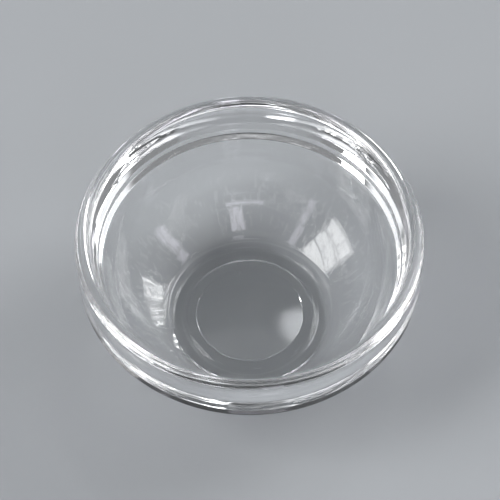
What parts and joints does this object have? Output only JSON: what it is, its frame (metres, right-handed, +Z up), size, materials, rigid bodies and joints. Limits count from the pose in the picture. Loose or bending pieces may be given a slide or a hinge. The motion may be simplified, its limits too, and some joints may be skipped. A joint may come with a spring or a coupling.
{
  "type": "sauce bowl",
  "caption": "Clear pressed-glass sauce bowl with a rounded lip, a plain rim band over a stacking step, a tapered wall that rounds into the floor, and a flat foot with a shallow recess.",
  "frame": {"origin": "centre of the plane that the bowl stands on", "axes": "+Z up along the axis of revolution, out of the mouth; the bowl is the same all round, so X and Y are free"},
  "size_m": [0.09, 0.09, 0.042],
  "materials": {
    "glass": "clear fire-polished"
  },
  "bodies": {
    "root": {"bowl": "glass"}
  },
  "joints": []
}
